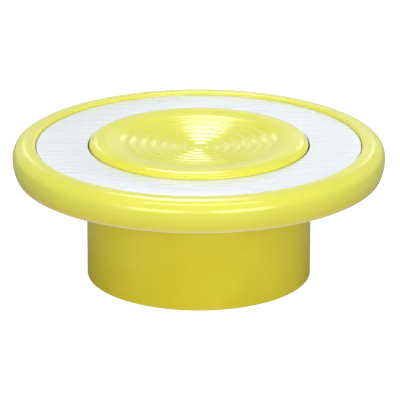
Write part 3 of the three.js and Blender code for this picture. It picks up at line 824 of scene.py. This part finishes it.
@dataclass
class Bezel:
    """The lemon moulding: a full-round flange, the ring's seat, the cap's pocket and the neck.

    Lengths are in millimetres above the barrel's rear edge, or radii.
    """

    underside: float = 24.5
    equator: float = 28.3
    foot_radius: float = 42.3
    crest_radius: float = 38.75
    ring_wall: float = 37.85
    ring_top: float = 31.35
    ring_seat: float = 30.0
    pocket_radius: float = 25.75
    shelf: float = 26.4
    neck_radius: float = 24.1
    neck_bore: float = 22.5
    foot_bore: float = 21.4
    neck_bottom: float = 8.5
    ledge_bore: float = 16.2
    ledge_bottom: float = 12.8
    ledge_top: float = 16.7
    recess_radius: float = 26.4
    recess_depth: float = 0.3
    groove: tuple[float, float] = (35.8, 40.4)
    groove_depth: float = 0.9
    insert_circle: float = 33.0
    insert_hole: float = 3.1
    insert_top: float = 28.9
    barrel_seal: tuple[float, float, float] = (9.6, 11.2, 0.9)
    cap_seal: tuple[float, float, float] = (24.3, 25.7, 0.8)
    case_circle: float = 18.5
    case_boss: float = 3.2
    case_boss_top: float = 13.8
    case_hole: float = 1.6
    case_hole_top: float = 14.2
    carrier_circle: float = 19.3
    carrier_hole: float = 1.4
    carrier_hole_bottom: float = 13.7

    def outer(self) -> list[Point]:
        """Draws the flange's outside from its sharp foot over the crest to the ring's wall."""
        widest, _, crest = extents("bezel")
        rise = self.equator - self.underside
        steps = 14
        side = []
        for k in range(1, steps):
            t = k / steps
            bulge = (widest - self.foot_radius) * (1 - (1 - t) ** 2)
            side.append((self.foot_radius + bulge, self.underside + rise * t))
        over = shoulder((self.crest_radius, crest), (widest, self.equator), 2.75, 28)
        wall = (self.ring_wall, self.ring_top - 0.25)
        inner = shoulder((self.crest_radius, crest), wall, 2.2, 10)
        return side + over[::-1] + inner[1:]

    def build(self) -> Solid:
        """Makes the bezel's mesh in one piece, with holes for the inserts."""
        inner_groove, outer_groove = self.groove
        floor = self.underside + self.groove_depth
        recess = self.underside + self.recess_depth
        neck, bore = self.neck_radius, self.neck_bore
        barrel_low, barrel_high, barrel_deep = self.barrel_seal
        cap_low, cap_high, cap_deep = self.cap_seal
        corners = [
            (self.foot_bore, self.ledge_bottom, 0.3),
            (self.foot_bore, self.neck_bottom, 0.2),
            (neck, self.neck_bottom, 0.4),
            (neck, barrel_low, 0.1),
            (neck - barrel_deep, barrel_low, 0.1),
            (neck - barrel_deep, barrel_high, 0.1),
            (neck, barrel_high, 0.1),
            (neck, recess, 0.1),
            (self.recess_radius, recess, 0.1),
            (self.recess_radius, self.underside, 0.1),
            (inner_groove, self.underside, 0.1),
            (inner_groove, floor, 0.1),
            (outer_groove, floor, 0.1),
            (outer_groove, self.underside, 0.1),
            (self.foot_radius, self.underside, 0.12),
            (self.foot_radius + 0.1, self.underside + 0.4, 0),
        ]
        rear = fillet(corners, 4)
        corners = [
            (self.ring_wall, self.ring_top - 0.3, 0),
            (self.ring_wall, self.ring_seat, 0.15),
            (self.pocket_radius, self.ring_seat, 0.15),
            (self.pocket_radius, self.shelf, 0.2),
            (bore, self.shelf, 0.2),
            (bore, cap_high, 0.1),
            (bore + cap_deep, cap_high, 0.1),
            (bore + cap_deep, cap_low, 0.1),
            (bore, cap_low, 0.1),
            (bore, self.ledge_top, 0.2),
            (self.ledge_bore, self.ledge_top, 0.2),
            (self.ledge_bore, self.ledge_bottom, 0.2),
        ]
        front = fillet(corners, 3)
        bezel = revolve("bezel_moulding", in_metres([*rear[1:-1], *self.outer(), *front[1:]]), ROUND)
        case = on_circle(self.case_circle, FACING)
        carrier = on_circle(self.carrier_circle, BETWEEN)
        inserts = on_circle(self.insert_circle, BETWEEN)
        bosses = posts("case_boss", case, self.case_boss, self.neck_bottom, self.case_boss_top)
        past = 1.0  # each cutter goes this far past the face that it opens
        ledge = self.ledge_top + past
        drilled = (
            ("case_hole", case, self.case_hole, self.neck_bottom - past, self.case_hole_top),
            ("carrier_hole", carrier, self.carrier_hole, self.carrier_hole_bottom, ledge),
            ("insert_hole", inserts, self.insert_hole, self.underside - past, self.insert_top),
        )
        holes = [hole for row in drilled for hole in posts(*row)]
        carve(bezel, holes, bosses)
        return install(bezel, Part.BEZEL, HOUSING, ["bezel"])


@dataclass
class InlayRing:
    """The brushed metal ring let into the flange's face. Lengths are in millimetres."""

    bevel: float = 0.12
    cap_clearance: float = 0.3

    def build(self) -> Solid:
        """Makes the ring with its edges broken."""
        low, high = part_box("inlay_ring")
        outer = high[0]
        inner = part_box("button_cap")[1][0] + self.cap_clearance * MM
        corners = ((inner, low[2]), (outer, low[2]), (outer, high[2]), (inner, high[2]))
        outline = fillet([(*corner, self.bevel * MM) for corner in corners], steps=3)
        ring = revolve("inlay_ring_brushed", outline, ROUND)
        return install(ring, Part.INLAY, HOUSING, ["inlay_ring"])


@dataclass
class ButtonCap:
    """The pressing face: a crested rim, a smooth inner slope and a dish of concentric steps.

    Lengths are in millimetres.
    """

    crest_radius: float = 22.0
    edge: float = 31.2
    lip: float = 29.9
    dish_rim: float = 32.1
    dish_centre: float = 30.6
    eye: float = 1.46
    steps: int = 7
    pitch: float = 2.44
    step_height: float = 0.26
    riser: float = 1.0
    bluntness: float = 0.35
    slope_bend: float = 1.3
    skirt: tuple[float, float] = (20.6, 22.2)
    wall: float = 1.9
    screw_circle: float = 9.5
    boss: float = 2.2
    boss_bottom: float = 27.4
    hole: float = 1.2
    hole_top: float = 29.6

    @property
    def reach(self) -> float:
        """Gives the dish's radius."""
        return self.eye + self.steps * self.pitch

    def hollow(self, radius: float) -> float:
        """Gives the dish's mean height at a radius."""
        return self.dish_centre + (self.dish_rim - self.dish_centre) * (radius / self.reach) ** 2

    def step_wave(self, radius: float) -> float:
        """Gives the steps' height at a radius: a tread that leans in, and a rounded riser."""
        phase = (radius - self.eye) / self.pitch % 1.0
        turn = self.riser / self.pitch
        share = phase / turn if phase < turn else (1 - phase) / (1 - turn)
        quarter = math.pi / 2
        sharpness = 1 - self.bluntness
        soft = math.sin(quarter * (1 - 2 * share) * sharpness) / math.sin(quarter * sharpness)
        return soft * self.step_height / 2

    def dish(self) -> list[Point]:
        """Draws the dish from its rim to the centre."""
        points_per_step = 20
        points_in_eye = 6
        points = []
        for k in range(self.steps * points_per_step):
            radius = self.reach - k * self.pitch / points_per_step
            points.append((radius, self.hollow(radius) + self.step_wave(radius)))
        start = self.step_wave(self.eye)
        for k in range(points_in_eye):
            radius = self.eye * (1 - k / points_in_eye)
            points.append((radius, self.hollow(radius) + start * (radius / self.eye) ** 2))
        return points

    def top(self) -> list[Point]:
        """Draws the face from the cap's edge over the crest and down to the dish's centre."""
        widest, _, crest = extents("button_cap")
        over = shoulder((self.crest_radius, crest), (widest, self.edge), 2.5, 24)
        start = self.hollow(self.reach) + self.step_wave(self.reach)
        points_on_slope = 16
        slope = []
        for k in range(1, points_on_slope):
            t = 1 - k / points_on_slope
            radius = self.reach + t * (self.crest_radius - self.reach)
            slope.append((radius, start + (crest - start) * (1 - (1 - t) ** self.slope_bend)))
        return [*over[::-1], *slope, *self.dish(), (0.0, self.hollow(0))]

    def build(self) -> Solid:
        """Makes the cap with its skirt and its three screw bosses."""
        widest, bottom, crest = extents("button_cap")
        inner, outer = self.skirt
        under = [(0.0, self.dish_centre - self.wall), (self.reach, self.dish_rim - self.wall)]
        corners = [
            (self.reach, self.dish_rim - self.wall, 0),
            (inner - 0.8, crest - self.wall - 0.4, 0.3),
            (inner, crest - self.wall - 1.0, 0.6),
            (inner, bottom, 0.2),
            (outer, bottom, 0.2),
            (outer, self.lip, 0.1),
            (widest, self.lip, 0.1),
            (widest, self.edge, 0),
        ]
        rim = fillet(corners, 3)
        cap = revolve("button_cap_moulding", in_metres([*under, *rim[1:-1], *self.top()]), ROUND)
        points = on_circle(self.screw_circle, FACING)
        bosses = posts("cap_boss", points, self.boss, self.boss_bottom, self.dish_rim - self.wall)
        holes = posts("cap_hole", points, self.hole, self.boss_bottom - 1, self.hole_top)
        carve(cap, holes, bosses)
        return install(cap, Part.CAP, CAP, ["button_cap"])


@dataclass
class Barrel:
    """The round sleeve behind the flange, with an inner ledge for the rear cover's seal.

    Lengths are in millimetres.
    """

    bore: float = 24.4
    ledge_bore: float = 21.6
    ledge: tuple[float, float] = (3.9, 5.4)

    def build(self) -> Solid:
        """Makes the sleeve with softened edges."""
        outer, _, top = extents("barrel")
        seat, ledge_top = self.ledge
        corners = [
            (self.bore, 0, 0.25),
            (outer, 0, 0.22),
            (outer, top, 0.35),
            (self.bore, top, 0.3),
            (self.bore, ledge_top, 0.15),
            (self.ledge_bore, ledge_top, 0.2),
            (self.ledge_bore, seat, 0.2),
            (self.bore, seat, 0.15),
        ]
        outline = fillet(corners, 5)
        sleeve = revolve("barrel_sleeve", in_metres(outline), ROUND)
        return install(sleeve, Part.BARREL, HOUSING, ["barrel"])


@dataclass
class RearParts:
    """What closes the barrel from behind: cover, screws and cable grommet.

    Lengths are in millimetres. The recess's shares are its arm and half width over the head's
    radius, and turn_apart is the angle in degrees between one screw's recess and the next.
    """

    counterbore: float = 3.1
    counterbore_depth: float = 0.9
    clearance: float = 1.6
    clearance_depth: float = 5.0
    band: tuple[float, float] = (19.6, 19.9)
    band_height: float = 0.25
    entry_radius: float = 5.0
    cable_radius: float = 3.4
    lip_step: float = 0.2
    fit: float = 0.05
    head_height: float = 1.0
    head_rim: tuple[float, float] = (0.35, 0.08)
    shank: float = 1.25
    pitch: float = 0.5
    thread_depth: float = 0.28
    recess_depth: float = 0.6
    recess_shares: tuple[float, float] = (0.55, 0.13)
    turn_apart: float = 20

    def build_cover(self) -> Solid:
        """Makes the cover with a raised rim band, screw pockets and the cable hole."""
        radius, bottom, top = extents("rear_cover")
        field_height = bottom + self.band_height
        outline = [
            (0.0, field_height),
            *fillet(
                [
                    (self.band[0], field_height, 0.15),
                    (self.band[1], bottom, 0.1),
                    (radius, bottom, 0.3),
                    (radius, top, 0.2),
                    (2.0, top, 0),
                ],
                steps=4,
            ),
            (0.0, top),
        ]
        cover = revolve("rear_cover_moulding", in_metres(outline), segments=192)
        bores = (
            (self.counterbore, self.counterbore_depth),
            (self.clearance, self.clearance_depth),
        )
        cutters = []
        for i in (1, 2, 3):
            at = centre_of(f"case_screw_{i}")
            for reach, depth in bores:
                pocket = cylinder_outline(reach * MM, (bottom - 2) * MM, (bottom + depth) * MM)
                cutters.append(revolve(f"pocket_{i}_{depth}", pocket, 48, (at.x, at.y)))
        at = centre_of("cable_grommet")
        entry = cylinder_outline(self.entry_radius * MM, -MM, (top + 1) * MM)
        cutters.append(revolve("entry", entry, 64, (at.x, at.y)))
        carve(cover, cutters)
        return install(cover, Part.GREY, HOUSING, ["rear_cover"])

    def build_grommet(self) -> Solid:
        """Makes the grommet with two rounded lips."""
        low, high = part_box("cable_grommet")
        _, bottom, top = extents("cable_grommet")
        at = centre_of("cable_grommet")
        lip = (high[0] - low[0]) / 2 / MM
        inner_lip = lip - self.lip_step
        waist = self.entry_radius - 2 * self.fit
        _, cover_low, cover_high = extents("rear_cover")
        corners = [
            (self.cable_radius, bottom, 0.25),
            (lip, bottom, 0.2),
            (lip, cover_low - self.fit, 0.15),
            (waist, cover_low - self.fit, 0.05),
            (waist, cover_high + self.fit, 0.05),
            (inner_lip, cover_high + self.fit, 0.15),
            (inner_lip, top, 0.25),
            (self.cable_radius, top, 0.25),
        ]
        outline = fillet(corners, 4)
        grommet = revolve("cable_grommet_moulding", in_metres(outline), 72, (at.x, at.y))
        return install(grommet, Part.RUBBER, HOUSING, ["cable_grommet"])

    def build_screw(self, index: int) -> Solid:
        """Makes one case screw, head down, with a cross recess and a threaded shank."""
        node = f"case_screw_{index}"
        low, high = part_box(node)
        at = centre_of(node)
        head = (high[0] - low[0]) / 2
        foot = low[2]
        tip = high[2]
        seat = foot + self.head_height * MM
        shank = self.shank * MM
        pitch = self.pitch * MM
        root = shank - self.thread_depth * MM
        plain = 1.4 * MM  # length of the shank and the tip that has no thread
        turns = int((tip - seat - plain) / pitch)
        thread = [
            (root if k % 2 else shank, tip - pitch - k * pitch / 2) for k in range(2 * turns)
        ]
        upright, chamfer = (value * MM for value in self.head_rim)
        rise = self.head_height * MM - upright
        facets = 8
        angles = [k / facets * math.pi / 2 for k in range(1, facets + 1)]
        outline = [
            (0.0, foot),
            *[(head * math.sin(a), seat - upright - rise * math.cos(a)) for a in angles],
            (head, seat - chamfer),
            (head - chamfer, seat),
            (shank, seat),
            *thread[::-1],
            (0.0, tip),
        ]
        screw = revolve(f"case_screw_{index}_fine", outline, 40, (at.x, at.y))
        arm, half = (head * share for share in self.recess_shares)
        corners = [(-arm, -half), (arm, -half), (arm, half), (-arm, half)]
        cutters = []
        for turn in (0, 90):
            spin = Matrix.Rotation(math.radians(turn + self.turn_apart * index), 2)
            turned = [tuple(spin @ Vector(corner) + Vector((at.x, at.y))) for corner in corners]
            floor = foot + self.recess_depth * MM
            cutters.append(prism(f"recess_{index}_{turn}", turned, foot - MM, floor))
        carve(screw, cutters)
        return install(screw, Part.STEEL, HOUSING, [node])

    def build(self) -> None:
        """Makes all the rear parts."""
        self.build_cover()
        self.build_grommet()
        for index in (1, 2, 3):
            self.build_screw(index)


@dataclass
class PanelParts:
    """What the panel meets under the flange: the gasket and the inserts, in millimetres."""

    bead: float = 0.35
    gasket_inner: float = 36.1
    insert_pitch: float = 0.7
    insert_bore: float = 1.65
    insert_thread: float = 0.38
    insert_mouth: float = 0.45
    knurl_step: float = 0.35
    knurl_heights: tuple[float, ...] = (1.5, 1.8, 2.3, 2.6)

    def build_gasket(self) -> Solid:
        """Makes the gasket with two sealing beads on its exposed face."""
        outer, low, top = extents("panel_gasket")
        inner = self.gasket_inner
        bottom = low + self.bead
        middle = (inner + outer) / 2
        half = (outer - inner) / 5
        facets = 8
        angles = [math.pi * k / facets for k in range(facets + 1)]
        beads = [
            (centre - half * math.cos(angle), bottom - self.bead * math.sin(angle))
            for centre in ((inner + middle) / 2, (outer + middle) / 2)
            for angle in angles
        ]
        outline = [(inner, bottom), *beads, (outer, bottom), (outer, top), (inner, top)]
        gasket = revolve("panel_gasket_beaded", in_metres(outline), segments=216)
        return install(gasket, Part.RUBBER, HOUSING, ["panel_gasket"])

    def build_insert(self, index: int) -> Solid:
        """Makes one brass insert: a body with a waist and a threaded bore."""
        node = f"mounting_insert_{index}"
        low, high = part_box(node)
        at = centre_of(node)
        outer = (high[0] - low[0]) / 2
        pitch = self.insert_pitch * MM
        bore = self.insert_bore * MM
        root = bore + self.insert_thread * MM
        top, bottom = high[2], low[2]
        plain = 0.2 * MM  # at each end of the bore
        half_turns = int((top - bottom - 2 * plain) / pitch * 2)
        thread = [
            (root if k % 2 else bore, top - plain - k * pitch / 2) for k in range(half_turns)
        ]
        waist = outer - self.knurl_step * MM
        soft = 0.1 * MM
        heights = [bottom + value * MM for value in self.knurl_heights]
        outline = [
            *fillet(
                [
                    (bore + self.insert_mouth * MM, bottom, 0),
                    (outer, bottom, 0.15 * MM),
                    (outer, heights[0], soft),
                    (waist, heights[1], soft),
                    (waist, heights[2], soft),
                    (outer, heights[3], soft),
                    (outer, top, 0.2 * MM),
                    (bore, top, 0),
                ],
                steps=3,
            ),
            *thread,
        ]
        insert = revolve(f"mounting_insert_{index}_turned", outline, 48, (at.x, at.y))
        return install(insert, Part.BRASS, HOUSING, [node])

    def build(self) -> None:
        """Makes the gasket and the three inserts."""
        self.build_gasket()
        for index in (1, 2, 3):
            self.build_insert(index)


@dataclass
class Interior:
    """The hidden works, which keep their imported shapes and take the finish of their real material."""

    def build(self) -> None:
        """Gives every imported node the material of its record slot."""
        slots = {row["node"]: row["material_slot"] for row in frame["record"]["subparts"]}
        for node, solid in frame["nodes"].items():
            material = FINISHES[slots[node]].material()
            if not solid.material_slots:
                solid.data.materials.append(material)
            for holder in solid.material_slots:
                holder.material = material
        LOG.info("dressed %d packed nodes", len(frame["nodes"]))


# ------------------------------------------------------------------ studio


@dataclass(frozen=True)
class Softbox:
    """A flat studio light aimed at the button. Angles are in degrees and lengths in metres."""

    name: str
    azimuth: float
    elevation: float
    distance: float
    width: float
    height: float
    radiance: float
    tint: str = "#ffffff"

    def build(self, target: Vector) -> None:
        """Hangs the light round the target and turns its face to it.

        Args:
            target: The point that it faces.
        """
        around, up = math.radians(self.azimuth), math.radians(self.elevation)
        level = math.cos(up)
        arm = Vector((math.sin(around) * level, math.cos(around) * level, math.sin(up)))
        lamp = bpy.data.lights.new(self.name, "AREA")
        lamp.shape = "RECTANGLE"
        lamp.size = self.width
        lamp.size_y = self.height
        lamp.energy = self.radiance * math.pi * self.width * self.height
        lamp.color = linear(self.tint)[:3]
        holder = bpy.data.objects.new(self.name, lamp)
        holder.location = target + arm * self.distance
        holder.rotation_euler = arm.to_track_quat("Z", "Y").to_euler()
        holder.visible_camera = False
        bpy.context.scene.collection.objects.link(holder)


@dataclass
class Studio:
    """A pale floor, a soft surround, softboxes and the camera.

    The surround's brightness is given by height (sky) and by distance to the side (flags).
    """

    elevation: float = 19.3
    distance: float = 0.787
    lens: float = 303.4
    aim: tuple[float, float, float] = (0.28, 0.0, 17.6)
    floor_size: float = 8.0
    floor_tone: float = 0.32
    floor_lift: float = 0.9
    sky: tuple[Point, ...] = ((0.0, 0.76), (0.35, 0.76), (0.6, 0.45), (1.0, 0.43))
    flags: tuple[Point, ...] = ((0.5, 1.0), (0.95, 0.75))
    softboxes: tuple[Softbox, ...] = (
        Softbox("back_softbox", -3.0, 48.0, 1.2, 0.22, 0.30, 10.5),
        Softbox("back_left_strip", -11.0, 61.0, 1.2, 0.18, 0.05, 6.0),
        Softbox("back_right_strip", 14.0, 61.0, 1.2, 0.10, 0.06, 6.0),
        Softbox("overhead_softbox", 180.0, 84.0, 1.2, 0.80, 0.40, 3.9),
        Softbox("back_card", 8.0, 19.0, 0.4, 0.12, 0.08, 0.35, "#f2f9ff"),
        Softbox("left_card", -13.0, 21.5, 1.2, 0.12, 0.16, 1.7),
        Softbox("right_card", 13.0, 21.5, 1.2, 0.12, 0.16, 1.7),
        Softbox("front_left_softbox", 205.0, 12.0, 1.5, 0.9, 0.5, 4.1),
        Softbox("front_right_softbox", 155.0, 12.0, 1.5, 0.9, 0.5, 5.5),
    )

    def build_camera(self) -> None:
        """Makes the camera and looks at the button from the front, a little above it."""
        data = bpy.data.cameras.new("camera")
        data.lens = self.lens
        data.sensor_width = 36
        data.clip_start = 0.05
        data.clip_end = 50
        target = Vector(self.aim) * MM
        up = math.radians(self.elevation)
        arm = Vector((0, -math.cos(up), math.sin(up)))
        camera = bpy.data.objects.new("camera", data)
        camera.location = target + arm * self.distance
        camera.rotation_euler = arm.to_track_quat("Z", "Y").to_euler()
        bpy.context.scene.collection.objects.link(camera)
        bpy.context.scene.camera = camera

    def build_floor(self) -> None:
        """Lays a sheet of studio paper, lifted to white for the camera alone."""
        half = self.floor_size / 2
        corners = [(-half, -half, 0), (half, -half, 0), (half, half, 0), (-half, half, 0)]
        floor = mesh_object("studio_floor", corners, [(0, 1, 2, 3)])
        paper = bpy.data.materials.new("studio_paper_white")
        paper.use_nodes = True
        tree = paper.node_tree
        shader = tree.nodes["Principled BSDF"]
        fibre = noise(tree, place_of(tree), 3.0, detail=3)
        dark, pale = (grey(self.floor_tone * share) for share in (0.98, 1.02))
        tree.links.new(ramp(tree, fibre, [(0.3, dark), (0.7, pale)]), shader.inputs["Base Color"])
        set_inputs(shader, {"Roughness": 0.9, "Emission Color": grey(1.0)})
        seen = add_node(tree, "ShaderNodeLightPath").outputs["Is Camera Ray"]
        times = {"operation": "MULTIPLY", 1: self.floor_lift}
        lift = add_node(tree, "ShaderNodeMath", times, {0: seen})
        tree.links.new(lift.outputs["Value"], shader.inputs["Emission Strength"])
        floor.data.materials.append(paper)

    def build_surround(self) -> None:
        """Fills the room with soft light, brightest near the horizon and flagged at both sides."""
        world = bpy.data.worlds.new("studio_surround")
        bpy.context.scene.world = world
        world.use_nodes = True
        tree = world.node_tree
        tree.nodes.clear()
        direction = add_node(tree, "ShaderNodeTexCoord").outputs["Generated"]
        axes = add_node(tree, "ShaderNodeSeparateXYZ", links={"Vector": direction})
        sky = ramp(tree, axes.outputs["Z"], [(at, grey(tone)) for at, tone in self.sky])
        aside = add_node(tree, "ShaderNodeMath", {"operation": "ABSOLUTE"}, {0: axes.outputs["X"]})
        flags = ramp(tree, aside.outputs["Value"], [(at, grey(tone)) for at, tone in self.flags])
        both = {0: sky, 1: flags}
        shaded = add_node(tree, "ShaderNodeVectorMath", {"operation": "MULTIPLY"}, both)
        light = {"Color": shaded.outputs["Vector"]}
        background = add_node(tree, "ShaderNodeBackground", {"Strength": 1.0}, light)
        surface = {"Surface": background.outputs["Background"]}
        add_node(tree, "ShaderNodeOutputWorld", links=surface)

    def build(self) -> None:
        """Sets the whole studio up."""
        scene = bpy.context.scene
        scene.view_settings.view_transform = "Standard"
        scene.view_settings.look = "None"
        self.build_camera()
        self.build_floor()
        self.build_surround()
        for softbox in self.softboxes:
            softbox.build(Vector(self.aim) * MM)
            LOG.info("%s hung", softbox.name)


def main() -> None:
    """Builds the studio and every piece in order."""
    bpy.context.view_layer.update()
    builders: list[tuple[str, Callable[[], Any]]] = [
        ("studio", Studio().build),
        ("interior", Interior().build),
        ("bezel", Bezel().build),
        ("inlay ring", InlayRing().build),
        ("button cap", ButtonCap().build),
        ("barrel", Barrel().build),
        ("rear parts", RearParts().build),
        ("panel parts", PanelParts().build),
    ]
    for title, build in builders:
        build()
        LOG.info("built %s", title)


if __name__ == "__main__":
    logging.basicConfig(level=logging.INFO)
    main()
